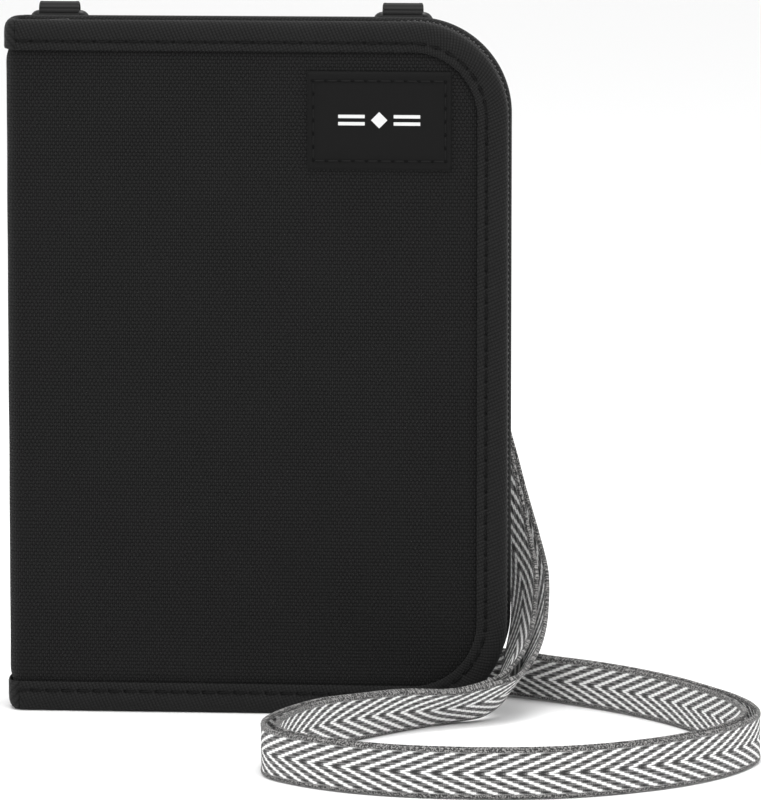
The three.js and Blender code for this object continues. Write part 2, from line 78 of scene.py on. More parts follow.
def smooth(low, high, value):
    t = min(1.0, max(0.0, (value - low) / (high - low)))
    return t * t * (3 - 2 * t)


# ---- Camera, floor and light ----
def make_camera():
    heading, pitch = math.radians(4.46), math.radians(7.52)
    data = bpy.data.cameras.new("camera")
    data.lens = 303.6
    data.sensor_width = 36
    data.clip_start, data.clip_end = 0.05, 20
    camera = bpy.data.objects.new("camera", data)
    camera.rotation_euler = (math.pi / 2 - pitch, 0, heading)
    camera.location = at(134.2, -1393.6, 250)
    bpy.context.scene.collection.objects.link(camera)
    bpy.context.scene.camera = camera


def area_light(name, place, aim, size, power):
    data = bpy.data.lights.new(name, "AREA")
    data.shape = "RECTANGLE"
    data.size, data.size_y = size
    data.energy = power
    light = bpy.data.objects.new(name, data)
    light.location = Vector(place)
    light.rotation_euler = (Vector(aim) - Vector(place)).to_track_quat("-Z", "Y").to_euler()
    bpy.context.scene.collection.objects.link(light)


def make_stage():
    scene = bpy.context.scene
    scene.view_settings.view_transform = "Standard"
    world = bpy.data.worlds.new("studio")
    world.use_nodes = True
    world.node_tree.nodes["Background"].inputs["Color"].default_value = (1, 1, 1, 1)
    world.node_tree.nodes["Background"].inputs["Strength"].default_value = 1.0
    scene.world = world
    area_light("overhead", (0.05, -0.15, 0.9), (0.02, 0, 0.05), (0.6, 0.6), 6)
    area_light("front_fill", (-0.4, -1.2, 0.7), (0, 0, 0.07), (0.8, 0.8), 3)
    area_light("right_rim", (0.9, -0.3, 0.5), (0.03, 0, 0.07), (0.5, 0.7), 1.5)
    mesh = bpy.data.meshes.new("floor")
    half = 4.0
    corners = [(-half, -half, 0), (half, -half, 0), (half, half, 0), (-half, half, 0)]
    mesh.from_pydata(corners, [], [(0, 1, 2, 3)])
    floor = bpy.data.objects.new("floor", mesh)
    scene.collection.objects.link(floor)
    paint = {"Base Color": grey(0.93), "Roughness": 0.75, "Specular IOR Level": 0.2}
    mesh.materials.append(Graph("pale_floor").surface(paint))


# ---- Shader graph helper ----
class Graph:
    """A Principled material whose inputs are set or linked by name. Patterns read the UV map in millimetres,
    or on a flat sheet the object's own x and z."""

    def __init__(self, name, flat=False):
        self.flat = flat
        self.material = bpy.data.materials.new(name)
        self.material.use_nodes = True
        self.tree = self.material.node_tree
        self._uv = None

    def feed(self, node, inputs):
        """Links the sockets among the inputs, and sets the rest."""
        for name, value in inputs.items():
            if isinstance(value, bpy.types.NodeSocket):
                self.tree.links.new(value, node.inputs[name])
            else:
                node.inputs[name].default_value = value

    def surface(self, inputs):
        self.feed(self.tree.nodes["Principled BSDF"], inputs)
        return self.material

    def make(self, kind, inputs=None, **settings):
        node = self.tree.nodes.new(f"ShaderNode{kind}")
        for name, value in settings.items():
            setattr(node, name, value)
        self.feed(node, inputs or {})
        return node.outputs

    def math(self, operation, a, b=0.0, clamp=False):
        return self.make("Math", {0: a, 1: b}, operation=operation, use_clamp=clamp)[0]

    def add(self, a, b, clamp=False):
        return self.math("ADD", a, b, clamp)

    def sub(self, a, b):
        return self.math("SUBTRACT", a, b)

    def mul(self, a, b, clamp=False):
        return self.math("MULTIPLY", a, b, clamp)

    def away(self, a, b):
        """Distance between a and b."""
        return self.math("ABSOLUTE", self.sub(a, b))

    def wave(self, value, pitch):
        """Rows of round tops, 0 to 1, one per pitch."""
        return self.math("ABSOLUTE", self.math("SINE", self.mul(value, math.pi / pitch)))

    def vary(self, value, noise, amount, clamp=False):
        return self.add(value, self.mul(self.sub(noise, 0.5), amount), clamp)

    def step(self, value, low, high):
        """0 below low and 1 above high, smooth between. low may be above high, which turns it over."""
        inputs = {"Value": value, "From Min": min(low, high), "From Max": max(low, high),
                  "To Min": float(low > high), "To Max": float(low < high)}
        return self.make("MapRange", inputs, interpolation_type="SMOOTHSTEP")["Result"]

    def uv(self):
        """The pattern's vector in millimetres, and its u and v."""
        if self._uv is None and self.flat:
            split = self.make("SeparateXYZ", {0: self.object_vector()})
            u, v = (self.mul(split[k], 1 / MM) for k in (0, 2))
            self._uv = (self.make("CombineXYZ", {0: u, 1: v})[0], u, v)
        elif self._uv is None:
            source = self.make("UVMap", uv_map="UVMap")["UV"]
            split = self.make("SeparateXYZ", {0: source})
            self._uv = (source, split[0], split[1])
        return self._uv

    def noise(self, scale, detail=2.0, vector=None, roughness=0.55):
        inputs = {"Vector": vector or self.uv()[0], "Scale": scale, "Detail": detail, "Roughness": roughness}
        return self.make("TexNoise", inputs)["Fac"]

    def mix(self, factor, first, second):
        return self.make("Mix", {"Factor": factor, "A": first, "B": second}, data_type="RGBA")["Result"]

    def bump(self, height, distance):
        return self.make("Bump", {"Distance": distance * MM, "Height": height})["Normal"]

    def object_vector(self):
        return self.make("TexCoord")["Object"]

    def cloth(self, color, rough, sheen, specular, height, depth):
        return self.surface({"Base Color": color, "Roughness": rough, "Specular IOR Level": specular,
                             "Sheen Weight": sheen, "Sheen Roughness": 0.5,
                             "Normal": self.bump(height, depth)})


def grey(level, warm=0.0):
    return (level * (1 + warm), level, level * (1 - warm), 1)


def weave_height(g, u, v, pitch, tall=1.0):
    """Plain weave: threads cross over and under. Returns the height and which thread lies on top."""
    su = g.math("SINE", g.mul(u, math.pi / pitch))
    sv = g.math("SINE", g.mul(v, math.pi / (pitch * tall)))
    warp = g.add(g.math("ABSOLUTE", su), g.mul(sv, g.math("SIGN", su)))
    weft = g.sub(g.math("ABSOLUTE", sv), g.mul(su, g.math("SIGN", sv)))
    return g.math("MAXIMUM", warp, weft), g.math("GREATER_THAN", warp, weft)


def woven(name, level, pitch, depth, contrast=0.35, rough=0.85, sheen=0.03, patchy=0.25, flat=False,
          tall=1.0):
    """Plain woven cloth. patchy is how much broad patches differ, tall the weft's pitch over the warp's."""
    g = Graph(name, flat)
    _, u, v = g.uv()
    height, over = weave_height(g, u, v, pitch, tall)
    fuzz = g.noise(1.1 / pitch, 3)
    shade = g.add(g.mul(g.step(height, 0.3, 1.9), 0.75), g.mul(over, 0.5))
    shade = g.vary(g.vary(shade, fuzz, 1.3), g.noise(0.06, 3), patchy)
    shade = g.mul(shade, 0.8, clamp=True)
    color = g.mix(shade, grey(level * (1 - contrast)), grey(level * (1 + contrast)))
    shine = g.sub(rough + 0.06, g.mul(shade, 0.16))
    return g.cloth(color, shine, sheen, 0.1, g.add(height, g.mul(fuzz, 0.35)), depth)


def ribbed(name, level, pitch, depth, contrast=0.3, flat=False):
    """Grosgrain: ribs across the tape's length, with fine threads along it."""
    g = Graph(name, flat)
    _, u, v = g.uv()
    rib = g.wave(u, pitch)
    fuzz = g.noise(2.5, 3)
    height = g.add(g.math("POWER", rib, 0.6), g.mul(g.wave(v, 0.34), 0.18))
    height = g.add(height, g.mul(fuzz, 0.2))
    shade = g.add(g.mul(g.step(rib, 0.1, 0.9), 0.7), g.mul(fuzz, 0.4))
    shade = g.vary(shade, g.noise(0.09, 3), 0.35, clamp=True)
    color = g.mix(shade, grey(level * (1 - contrast)), grey(level * (1 + contrast)))
    return g.cloth(color, 0.8, 0.04, 0.12, height, depth)


def twill(name, level):
    """Binding tape: fine slanting ribs with short threads across them, and painted shade in the seam's needle
    holes as near-black dots.
    """
    g = Graph(name)
    _, u, v = g.uv()
    rib = g.wave(g.add(u, g.mul(v, 0.45)), 0.78)
    cross = g.wave(g.sub(v, g.mul(u, 0.3)), 0.62)
    grain = g.mul(g.math("POWER", rib, 0.7), g.add(0.45, g.mul(cross, 0.55)))
    fuzz = g.noise(2.5, 3)
    shade = g.vary(g.mul(grain, 0.85), fuzz, 0.5)
    shade = g.vary(shade, g.noise(0.09, 3), 0.3, clamp=True)
    color = g.mix(shade, grey(level * 0.25), grey(level * 1.8))
    # Painted shade: near-black dots in the seam's needle holes, one every stitch pitch along the seam line.
    seam = g.step(g.away(v, SEAM_V), 0.5, 0.2)
    along = g.math("COSINE", g.mul(u, 2 * math.pi / STITCH_PITCH))
    color = g.mix(g.mul(seam, g.step(along, 0.7, 0.95)), color, grey(0.001))
    return g.cloth(color, 0.8, 0.04, 0.12, g.add(grain, g.mul(fuzz, 0.2)), 0.12)


def strap_cloth():
    """Dark webbing with pale beaded chevrons that point along the strap, and a mottled edge."""
    g = Graph("strap_cloth")
    _, u, v = g.uv()
    off_middle = g.math("ABSOLUTE", v)
    pitch, lean, bead = 4.17, 2.5, 0.44
    level = pitch * math.sin(math.atan(1 / lean))
    phase = g.math("FRACT", g.math("DIVIDE", g.sub(g.mul(off_middle, lean), u), pitch))
    from_dark = g.away(phase, 0.5)
    thickness = g.add(0.1, g.mul(g.wave(off_middle, bead), 0.25))
    pale = g.step(g.sub(g.mul(from_dark, level), thickness), 0.09, -0.05)
    pale = g.mul(pale, g.step(off_middle, 4.25, 4.0))
    # Between two pale lines runs one dark, broken line on a mottled ground.
    from_pale = g.mul(g.sub(0.5, from_dark), level)
    dots = g.step(g.math("SINE", g.mul(off_middle, math.pi / bead)), -0.5, 0.5)
    dark = g.mul(g.step(from_pale, 0.38, 0.16), dots)
    height, _ = weave_height(g, u, v, 0.42)
    ground = g.add(g.mul(g.step(height, 0.2, 1.9), 0.55), g.mul(g.noise(2.6, 3), 0.55), clamp=True)
    color = g.mix(ground, grey(0.02), grey(0.27, 0.01))
    color = g.mix(g.mul(dark, 0.9), color, grey(0.012))
    speck = g.step(g.noise(2.6, 2), 0.45, 0.6)
    border = g.step(off_middle, 4.15, 4.35)
    color = g.mix(border, color, g.mix(speck, grey(0.035), grey(0.3, 0.02)))
    color = g.mix(pale, color, grey(0.92, 0.005))
    return g.cloth(color, 0.85, 0.1, 0.2, g.sub(g.add(height, g.mul(pale, 1.2)), dark), 0.1)


def hard(name, level, rough, metallic=0.0, coat=0.0, wear=0.25, grain=0.02):
    """Painted metal or moulded plastic, with faint mottling and fine scuffs."""
    g = Graph(name)
    place = g.object_vector()
    scuff = g.noise(900, 4, place, 0.7)
    broad = g.noise(120, 3, place)
    shade = g.add(g.mul(broad, 0.6), g.mul(scuff, 0.4), clamp=True)
    color = g.mix(shade, grey(level * (1 - wear)), grey(level * (1 + wear)))
    shine = g.add(rough - 0.08, g.mul(shade, 0.16))
    return g.surface({"Base Color": color, "Roughness": shine, "Metallic": metallic,
                      "Specular IOR Level": 0.3, "Coat Weight": coat, "Coat Roughness": 0.12,
                      "Normal": g.bump(scuff, grain)})


def clear_film():
    g = Graph("clear_film")
    shine = g.add(0.06, g.mul(g.noise(0.12, 3), 0.16))
    return g.surface({"Base Color": (0.9, 0.93, 0.95, 1), "Roughness": shine, "Transmission Weight": 0.92,
                      "IOR": 1.3, "Alpha": 0.45, "Normal": g.bump(g.noise(0.08, 2), 0.4)})


def thread_material(name, level):
    g = Graph(name)
    _, u, v = g.uv()
    twist = g.step(g.math("SINE", g.mul(g.add(u, v), 14.0)), -1, 1)
    return g.surface({"Base Color": g.mix(twist, grey(level * 0.6), grey(level * 1.5)), "Roughness": 0.75,
                      "Specular IOR Level": 0.12, "Normal": g.bump(twist, 0.03)})


# ---- Mesh helpers ----
def new_object(name, vertices, faces, uvs, material):
    """vertices in metres, and uvs one list of corner pairs per face."""
    mesh = bpy.data.meshes.new(name)
    mesh.from_pydata([tuple(v) for v in vertices], [], faces)
    layer = mesh.uv_layers.new(name="UVMap")
    flat = [c for face in uvs for corner in face for c in corner]
    layer.data.foreach_set("uv", flat)
    mesh.materials.append(material)
    obj = bpy.data.objects.new(name, mesh)
    bpy.context.scene.collection.objects.link(obj)
    b = bmesh.new()
    b.from_mesh(mesh)
    bmesh.ops.recalc_face_normals(b, faces=b.faces)
    b.to_mesh(mesh)
    b.free()
    mesh.polygons.foreach_set("use_smooth", [True] * len(mesh.polygons))
    return obj


def lengths(points):
    total, out = 0.0, [0.0]
    for a, b in zip(points, points[1:]):
        total += (Vector(b) - Vector(a)).length
        out.append(total)
    return out


def grid(rows, closed=False, looped=False, capped=False, start=0, u=None, v=None):
    """Faces and UVs of a net of points in millimetres: u runs from row to row, v along a row."""
    count, across = len(rows), len(rows[0])
    if u is None:
        middle = [r[across // 2] for r in rows]
        u = lengths(middle + middle[:1] * looped)
        v = lengths(rows[count // 2] + rows[count // 2][:1] * closed)
    points = [p for r in rows for p in r]
    faces, uvs = [], []
    for i in range(count if looped else count - 1):
        n = (i + 1) % count
        for j in range(across if closed else across - 1):
            k = (j + 1) % across
            here, there = start + i * across, start + n * across
            faces.append([here + j, here + k, there + k, there + j])
            uvs.append([(u[i], v[j]), (u[i], v[j + 1]), (u[i + 1], v[j + 1]), (u[i + 1], v[j])])
    if capped:
        for i in (0, count - 1):
            faces.append([start + i * across + j for j in range(across)])
            uvs.append([(u[i], v[j]) for j in range(across)])
    return points, faces, uvs


def net(name, rows, material, **options):
    points, faces, uvs = grid(rows, **options)
    return new_object(name, [at(*p) for p in points], faces, uvs, material)


def many(name, tubes, material):
    """One object from the rows of several closed, capped tubes."""
    points, faces, uvs = [], [], []
    for rows in tubes:
        p, f, t = grid(rows, closed=True, capped=True, start=len(points))
        points += p
        faces += f
        uvs += t
    return new_object(name, [at(*p) for p in points], faces, uvs, material)


def arc(a, b, radius, start, end, steps):
    """Points of an arc round (a, b). start and end are in degrees."""
    start, end = math.radians(start), math.radians(end)
    angles = [start + (end - start) * i / steps for i in range(steps + 1)]
    return [(a + radius * math.cos(angle), b + radius * math.sin(angle)) for angle in angles]


def tube_rows(path, radius, sides, looped=False):
    """Rings round a path in millimetres. radius is a number or one per point."""
    path = [Vector(p) for p in path]
    rows = []
    side = None
    for i, p in enumerate(path):
        before = path[i - 1] if i or looped else path[0]
        after = path[(i + 1) % len(path)] if i + 1 < len(path) or looped else path[-1]
        along = (after - before).normalized()
        if side is None:
            side = Vector((1, 0, 0)) if abs(along.x) < 0.8 else Vector((0, 0, 1))
        side = (side - along * side.dot(along)).normalized()
        other = along.cross(side)
        r = radius[i] if isinstance(radius, (list, tuple)) else radius
        angles = [2 * math.pi * k / sides for k in range(sides)]
        rows.append([p + side * (r * math.cos(a)) + other * (r * math.sin(a)) for a in angles])
    return rows


def stitches(name, places, material, length, radius, lift):
    """Short arched threads. places = (point, along, out)."""
    tubes, arch = [], 0.16
    for point, along, out in places:
        point, along, out = Vector(point), Vector(along).normalized(), Vector(out).normalized()
        path, radii = [], []
        for s in (-0.5, -0.42, -0.25, 0.0, 0.25, 0.42, 0.5):
            rise = lift + arch * (1 - (2 * s) ** 4) - arch
            path.append(point + along * (s * length) + out * rise)
            radii.append(radius * (1 - 0.45 * (2 * abs(s)) ** 3))
        tubes.append(tube_rows(path, radii, 6))
    return many(name, tubes, material)


def run_of(points, outs, pitch):
    """Evenly spaced (point, along, out) places on a line."""
    points = [Vector(p) for p in points]
    far = lengths(points)
    places, distance, i = [], pitch / 2, 0
    while distance < far[-1]:
        while far[i + 1] < distance:
            i += 1
        t = (distance - far[i]) / max(1e-9, far[i + 1] - far[i])
        places.append((points[i].lerp(points[i + 1], t), points[i + 1] - points[i],
                       Vector(outs[i]).lerp(Vector(outs[i + 1]), t)))
        distance += pitch
    return places


def straight_run(a, b, face, pitch):
    return run_of([a, b], [(0, face, 0)] * 2, pitch)


def assign(obj, body=None, replaces=()):
    """Says the body that the piece rides and the CAD nodes that it stands for."""
    if replaces:
        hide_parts(*replaces)
    if body:
        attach(obj, body)
    return obj


def thicken(obj, thickness, offset):
    solid = obj.modifiers.new("cloth", "SOLIDIFY")
    solid.thickness = thickness * MM
    solid.offset = offset
    return obj


def band_rows(centre, path, section, thick):
    """Rows of a flat band that follows a path in y and z. section = (sideways, share of thick)."""
    rows = []
    for i, (y, z) in enumerate(path):
        a, b = path[max(0, i - 1)], path[min(len(path) - 1, i + 1)]
        dy, dz = b[0] - a[0], b[1] - a[1]
        size = math.hypot(dy, dz)
        rows.append([(centre + s, y - dz / size * n * thick, z + dy / size * n * thick) for s, n in section])
    return rows


def box_stitch(centre, y, face, across, upright, cross):
    """A box with a cross in it. across and cross are (half width, z, z, pitch)."""
    half, low, high, pitch = across
    lines = [((-half, z), (half, z), pitch) for z in (low, high)]
    lines += [((x, low), (x, high), upright[1]) for x in (-upright[0], upright[0])]
    half, bottom, top, pitch = cross
    lines += [((-half * lean, bottom), (half * lean, top), pitch) for lean in (1, -1)]
    places = []
    for a, b, pitch in lines:
        places += straight_run((centre + a[0], y, a[1]), (centre + b[0], y, b[1]), face, pitch)
    return places


def frame_of_stitches(x0, x1, y, z0, z1, face, pitch):
    corners = [(x0, z0), (x1, z0), (x1, z1), (x0, z1)]
    places = []
    for a, b in zip(corners, corners[1:] + corners[:1]):
        places += straight_run((a[0], y, a[1]), (b[0], y, b[1]), face, pitch)
    return places


def graded(low, high, edges, count):
    """Values from low to high, close together near both ends. edges are shares of the whole."""
    wide, near = high - low, edges[-1]
    values = [low + wide * t for t in edges]
    values += [low + wide * (near + (1 - 2 * near) * i / count) for i in range(1, count)]
    return values + [high - wide * t for t in reversed(edges)]


def bevel(obj, width, segments=3, angle=35):
    modifier = obj.modifiers.new("bevel", "BEVEL")
    modifier.width = width * MM
    modifier.segments = segments
    modifier.limit_method = "ANGLE"
    modifier.angle_limit = math.radians(angle)
    weighted = obj.modifiers.new("weighted", "WEIGHTED_NORMAL")
    weighted.weight = 80


def shade_smooth():
    """A modifier's node group that turns smooth shading on, so the CAD mesh itself stays as it is."""
    group = bpy.data.node_groups.get("shade_smooth")
    if group is None:
        group = bpy.data.node_groups.new("shade_smooth", "GeometryNodeTree")
        for way in ("INPUT", "OUTPUT"):
            group.interface.new_socket("Geometry", in_out=way, socket_type="NodeSocketGeometry")
        first = group.nodes.new("NodeGroupInput")
        shade = group.nodes.new("GeometryNodeSetShadeSmooth")
        last = group.nodes.new("NodeGroupOutput")
        group.links.new(first.outputs[0], shade.inputs["Geometry"])
        group.links.new(shade.outputs["Geometry"], last.inputs[0])
    return group


def finish_node(name, material, width=0.2, segments=3):
    """A CAD node that stays, with a better material and softened edges."""
    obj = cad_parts[name]
    for slot in obj.material_slots:
        slot.material = material
    obj.modifiers.new("smooth", "NODES").node_group = shade_smooth()
    bevel(obj, width, segments)


# ---- The wallet's rim ----
def rim(left, inset=0.0, drop=None, step=0.6):
    """(x, z, outward x, outward z) along the rim, from the spine over the top and back along the bottom."""
    drop = inset if drop is None else drop
    radius = CORNER - inset
    places = []

    def straight(x0, z0, x1, z1):
        along = Vector((x1 - x0, z1 - z0))
        count = max(2, round(along.length / step))
        along.normalize()
        for i in range(count):
            t = i / count
            places.append((x0 + (x1 - x0) * t, z0 + (z1 - z0) * t, -along.y, along.x))

    def corner(cz, start):
        count = max(6, round(radius * math.pi / 2 / step))
        for i in range(count):
            a = start - math.pi / 2 * i / count
            c, s = math.cos(a), math.sin(a)
            places.append((MIDDLE + radius * c, cz + radius * s, c, s))

    straight(left, HEIGHT - drop, MIDDLE, HEIGHT - inset)
    corner(HEIGHT - CORNER, math.pi / 2)
    straight(HALF_WIDTH - inset, HEIGHT - CORNER, HALF_WIDTH - inset, CORNER)
    corner(CORNER, 0)
    straight(MIDDLE, inset, left, drop)
    places.append((left, drop, *places[-1][2:]))
    return places


def rim_depth(x, z):
    """How far a point lies inside the wallet's rim (the spine side doesn't count)."""
    if x > MIDDLE and (z > HEIGHT - CORNER or z < CORNER):
        cz = HEIGHT - CORNER if z > HEIGHT / 2 else CORNER
        return CORNER - math.hypot(x - MIDDLE, z - cz)
    return min(z, HEIGHT - z, HALF_WIDTH - x)


def rim_span(x, inset):
    """Lowest and highest z of the rim at x."""
    radius = CORNER - inset
    if x <= MIDDLE:
        return inset, HEIGHT - inset
    rise = math.sqrt(max(0.0, radius * radius - (x - MIDDLE) ** 2))
    return CORNER - rise, HEIGHT - CORNER + rise


# ---- Covers ----
COVERS = {-1: "front_cover", 1: "wallet_back"}


def bend_round_spine(obj):
    """Bakes the piece's transform into its mesh."""
    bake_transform(obj)


def girth(side):
    """The shell's section from the middle of the spine to the open side: (x, y, outward x, outward y)."""
    section = [(-52.5, 0.0), (-52.45, 1.4), (-52.35, 2.8), (-52.2, 4.2), (-51.98, 5.3), (-51.6, 6.25),
               (-51.05, 7.0), (-50.35, 7.5), (-49.5, 7.8)]
    section += [(x, FABRIC_FACE) for x in (FABRIC_TURN, -46.5, -43.5)]
    x = -39.5
    while x < 38:
        section.append((x, FABRIC_FACE))
        x += 3.6
    for from_edge in (13.2, 11.8, 10.6, 9.6, 8.8, 8.2, 7.7, 7.2, 6.8, 6.4, 5.8, 4.4, 3.0, 1.6):
        section.append((HALF_WIDTH - from_edge, FABRIC_FACE))
    out = []
    for i, (x, y) in enumerate(section):
        a = section[max(0, i - 1)]
        b = section[min(len(section) - 1, i + 1)]
        dx, dy = b[0] - a[0], b[1] - a[1]
        size = math.hypot(dx, dy)
        out.append((x, side * y, -dy / size, side * dx / size))
    out[0] = (out[0][0], 0.0, -1.0, 0.0)
    return out


def shell(side, material):
    """Outer fabric of one half: flat under the binding, a little full inside it, wrapped round the spine."""
    inset = 1.2
    edges = [inset, 3.6, 5.4, 6.1, 6.5, 6.9, 7.3, 7.8, 8.4, 9.2, 10.4, 12.0, 14.2, 17.0, 20.5, 24.5, 29.0]
    last, count = edges[-1], 24
    levels = edges + [last + (HEIGHT - 2 * last) * i / count for i in range(1, count)]
    levels += [HEIGHT - e for e in reversed(edges)]
    rows = []
    for x, y, nx, ny in girth(side):
        low, high = rim_span(x, inset)
        row = []
        for level in levels:
            z = low + (high - low) * (level - inset) / (HEIGHT - 2 * inset)
            depth = rim_depth(x, z)
            lift = -0.5 + 0.5 * smooth(5.9, 8.3, depth)
            lift += 0.16 * smooth(8, 26, depth) * smooth(-50, -36, x)
            wave = math.sin(x * 0.21 + z * 0.05) * math.sin(z * 0.13 + 1.1)
            wave += 0.5 * math.sin(z * 0.31 - x * 0.12)
            lift += 0.035 * wave * smooth(7, 14, depth)
            pucker = math.sin((x + z) * 2 * math.pi / STITCH_PITCH)
            lift += 0.025 * pucker * smooth(6.2, 7.4, depth) * smooth(11, 8, depth)
            row.append((x + nx * lift, y + ny * lift, z))
        rows.append(row)
    obj = net(f"{SIDES[side]}_shell", rows, material)
    flatten_uv(obj)
    return thicken(obj, 0.45, -1)


def flatten_uv(obj):
    """UVs from the girth and the height, so that the weave runs straight across the whole shell."""
    layer = obj.data.uv_layers["UVMap"]
    for loop in obj.data.loops:
        p = obj.data.vertices[loop.vertex_index].co / MM
        y = abs(p.y - DEPTH_SHIFT)
        around = p.x
        if p.x <= FABRIC_TURN:
            around = FABRIC_TURN - math.hypot(p.x - FABRIC_TURN, max(0.0, FABRIC_FACE - y))
        layer.data[loop.index].uv = (around, p.z)


# Section of the edge binding: (outward, y), round the outside from flange to flange and back inside.
BINDING_SECTION = [
    (-6.2, 7.72), (-6.25, 7.9), (-6.1, 8.08), (-5.7, 8.2), (-5.0, 8.2), (-4.65, 8.12), (-4.4, 8.04),
    (-4.15, 8.12), (-3.7, 8.27), (-2.6, 8.36), (-1.6, 8.3), (-0.85, 8.05), (-0.3, 7.6), (-0.05, 7.0),
    (-0.02, 6.2), (-0.08, 5.4), (-0.35, 4.8), (-0.9, 4.42), (-1.8, 4.3), (-3.4, 4.28), (-4.4, 4.4),
    (-5.4, 4.3), (-6.1, 4.4), (-6.2, 4.75),
    (-5.9, 4.9), (-1.6, 4.9), (-0.8, 5.5), (-0.8, 7.1), (-1.6, 7.68), (-5.9, 7.68),
]


def cover_binding(side, material):
    places = rim(COVER_LEFT, step=0.55)
    rows, u, before = [], 0.0, None
    for x, z, nx, nz in places:
        if before:
            u += math.hypot(x - before[0], z - before[1])
        before = (x, z)
        hole = max(0.0, math.cos(2 * math.pi * (u / STITCH_PITCH))) ** 6
        soft = 0.03 * math.sin(u * 0.23) + 0.02 * math.sin(u * 0.71 + 2)
        row = []
        for out, y in BINDING_SECTION:
            near = math.exp(-(((out + SEAM_INSET) / 0.55) ** 2))
            sink = 0.14 * hole * near if y > FABRIC_FACE else 0
            puff = soft * smooth(7.7, 8.2, y)
            row.append((x + nx * out, side * (y - sink + puff), z + nz * out))
        rows.append(row)
    return net(f"{SIDES[side]}_binding", rows, material, closed=True, capped=True), places


def cover_stitches(side, places, material):
    line = [(x - nx * SEAM_INSET, side * 8.1, z - nz * SEAM_INSET) for x, z, nx, nz in places]
    shifted = run_of(line, [(0, side, 0)] * len(line), STITCH_PITCH)
    return stitches(f"{SIDES[side]}_binding_stitches", shifted, material, 2.55, 0.19, 0.1)


def spine_binding(side, end, material):
    """The binding where it wraps the spine: from the middle of the spine to the cover's binding."""
    outer = [(-52.95, 0), (-52.9, 1.6), (-52.78, 3.2), (-52.55, 4.8), (-52.2, 6.0), (-51.6, 7.1),
             (-50.8, 7.8), (-50.3, 8.06), (-49.75, 8.2)]
    inner = [(-50.75, 0), (-50.72, 1.2), (-50.68, 2.4), (-50.6, 3.4), (-50.45, 4.0), (-50.3, 4.2),
             (-50.15, 4.28), (-49.95, 4.3), (-49.75, 4.3)]
    rows = []
    for (ox, oy), (ix, iy) in zip(outer, inner):
        o, i = Vector((ox, side * oy)), Vector((ix, side * iy))
        wide = (i - o).length
        along = (i - o) / wide
        section = [(0.42, 0), (0.1, 0.1), (0.0, 0.5), (0.02, 1.8), (0.0, 3.2), (0.08, 4.3), (0.3, 5.1),
                   (0.7, 5.7), (1.2, 6.1), (wide - 0.8, 6.18), (wide - 0.35, 5.9), (wide - 0.08, 5.2),
                   (wide, 4.4), (wide, 0.3), (wide - 0.4, 0), (wide - 0.5, 4.6), (0.5 * wide, 5.2),
                   (0.5, 4.6)]
        row = []
        for a, rise in section:
            p = o + along * a
            z = HEIGHT - BINDING + rise if end == "top" else BINDING - rise
            row.append((p.x, p.y, z))
        rows.append(row)
    return net(f"spine_binding_{end}_{SIDES[side]}", rows, material, closed=True, capped=True)


def spine_lining(side, material):
    """Lining from the middle of the spine round its inside corner and in under the cover's lining."""
    section = [(-51.0, 0), (-50.98, 1.5), (-50.9, 3.0), (-50.7, 4.2), (-50.2, 4.85), (-49.4, 5.05),
               (-48.2, 5.08), (-46.5, 5.08)]
    levels = [7.0 + (HEIGHT - 14) * i / 20 for i in range(21)]
    rows = [[(x, side * y, z) for z in levels] for x, y in section]
    return thicken(net(f"spine_lining_{SIDES[side]}", rows, material), 0.25, 0)


def teeth(side, material):
    """One row of coil turns, each a flattened loop with a bulging head towards the middle."""
    step, proud = 0.675, 0.12
    places = rim(ZIP_LEFT, ZIP_INSET, ZIP_DROP, step=step)
    radii = [0.24, 0.27, 0.27, 0.29, 0.31, 0.29, 0.26, 0.22]
    tubes = []
    for i in range(0 if side > 0 else 1, len(places) - 1, 2):
        x, z, nx, nz = places[i]
        centre, out, across = Vector((x, 0, z)), Vector((nx, 0, nz)), Vector((0, side, 0))
        # The two rows stay apart where the slider runs, and interlock past it.
        head = 0.45 if i * step < 78 else -0.25
        turn = [(2.25, -0.25 + proud), (1.7, proud - 0.3), (1.0, -0.25 + proud), (head + 0.25, -0.35 + proud),
                (head, -0.8 + proud), (head + 0.3, -1.35), (1.1, -1.6), (2.0, -1.55)]
        path = [centre + across * sideways + out * rise for sideways, rise in turn]
        tubes.append(tube_rows(path, radii, 6))
    return many(f"{SIDES[side]}_coil", tubes, material)


def zip_tape(side, material):
    """Woven tape that carries the coil, with a rolled edge next to it."""
    section = [(-0.3, 2.35), (-0.2, 2.6), (-0.3, 3.0), (-0.55, 3.5), (-0.7, 4.1), (-1.1, 4.12), (-3.0, 3.98),
               (-5.5, 3.95), (-5.55, 3.6), (-3.0, 3.5), (-1.6, 3.4), (-1.3, 3.0), (-1.3, 2.6), (-1.9, 2.35)]
    places = rim(ZIP_LEFT, ZIP_INSET, ZIP_DROP, step=1.2)
    rows = [[(x + nx * out, side * y, z + nz * out) for out, y in section] for x, z, nx, nz in places]
    return net(f"{SIDES[side]}_zip_edge", rows, material, closed=True, capped=True)


